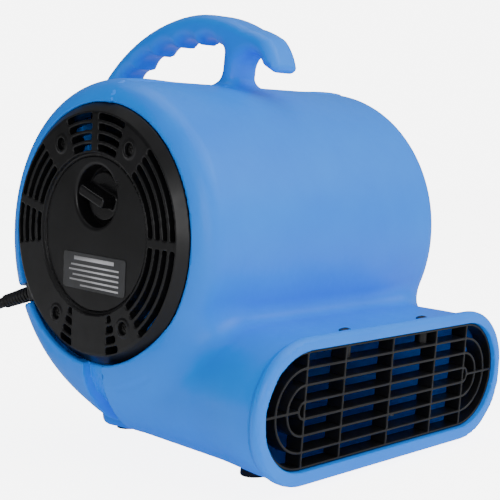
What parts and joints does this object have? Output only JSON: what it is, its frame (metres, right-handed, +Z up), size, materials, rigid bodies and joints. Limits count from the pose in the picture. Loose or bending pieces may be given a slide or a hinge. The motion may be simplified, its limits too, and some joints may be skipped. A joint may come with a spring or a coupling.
{
  "type": "air mover",
  "caption": "Portable blower: round drum housing with a low wide grilled outlet, slotted inlet covers, a speed knob, a carry handle with a cord hook, and a power cord.",
  "frame": {"origin": "centre of the bounding box of the machine without its cord, on the floor it stands on", "axes": "+Z up, air leaves towards -Y, the drum and the wheel lie along X, the knob and the cord are on the -X end"},
  "size_m": [0.3353, 0.4654, 0.304],
  "materials": {
    "blue_shell": "sky-blue rotomoulded polyethylene with a soft satin skin",
    "black_cover": "black moulded plastic, satin",
    "dark_screw": "black-coated steel",
    "plate_grey": "dark grey label film, blank",
    "knob_black": "black moulded plastic, smoother than the cover",
    "switch_black": "black phenolic",
    "ring_black": "black moulded plastic",
    "grille_black": "black moulded plastic, satin",
    "foot_rubber": "black rubber",
    "bright_screw": "zinc-plated steel",
    "capacitor_grey": "grey plastic case",
    "cord_rubber": "black rubber cord jacket",
    "motor_steel": "punched steel",
    "motor_bell": "pressed aluminium",
    "winding_copper": "enamelled copper wire",
    "bearing_steel": "ground steel",
    "rotor_steel": "cast rotor",
    "wheel_black": "black moulded plastic",
    "relief_rubber": "black rubber, ribbed",
    "tie_black": "black strap",
    "plug_rubber": "black moulded plug",
    "pin_brass": "plain brass"
  },
  "bodies": {
    "machine": {"housing": "blue_shell", "outlet_duct": "blue_shell", "carry_handle": "blue_shell", "rear_leg": "blue_shell", "inlet_cover_near": "black_cover", "inlet_cover_far": "black_cover", "cover_screws_near": "dark_screw", "cover_screws_far": "dark_screw", "rating_plate_blank": "plate_grey", "rotary_switch": "switch_black", "inlet_ring_near": "ring_black", "inlet_ring_far": "ring_black", "outlet_grille": "grille_black", "grille_bars": "grille_black", "grille_bows": "grille_black", "grille_uprights": "grille_black", "grille_screws": "dark_screw", "front_feet": "foot_rubber", "foot_screws": "bright_screw", "rear_pads": "foot_rubber", "run_capacitor": "capacitor_grey", "terminal_block": "switch_black", "supply_lead": "cord_rubber", "motor_plate": "motor_steel", "plate_screws": "bright_screw", "motor_bell_near": "motor_bell", "motor_bell_far": "motor_bell", "stator_stack": "motor_steel", "windings": "winding_copper", "tie_bolts": "bright_screw", "bearings": "bearing_steel", "strain_relief": "relief_rubber", "power_cord": "cord_rubber", "cord_coil": "cord_rubber", "cord_ties": "tie_black", "plug": "plug_rubber", "plug_pins": "pin_brass"},
    "wheel": {"motor_shaft": "bearing_steel", "rotor": "rotor_steel", "blower_wheel": "wheel_black", "wheel_rings": "wheel_black", "wheel_blades": "wheel_black", "hub_set_screw": "dark_screw"},
    "knob": {"speed_knob": "knob_black"}
  },
  "joints": [
    {"name": "wheel_spin", "type": "hinge", "parent": "machine", "child": "wheel", "pos_m": [0, 0.01175, 0.151], "axis": [1, 0, 0], "continuous": true},
    {"name": "knob_turn", "type": "hinge", "parent": "machine", "child": "knob", "pos_m": [-0.118, 0.01013, 0.17535], "axis": [1, 0, 0], "range_deg": [0, 135]}
  ]
}
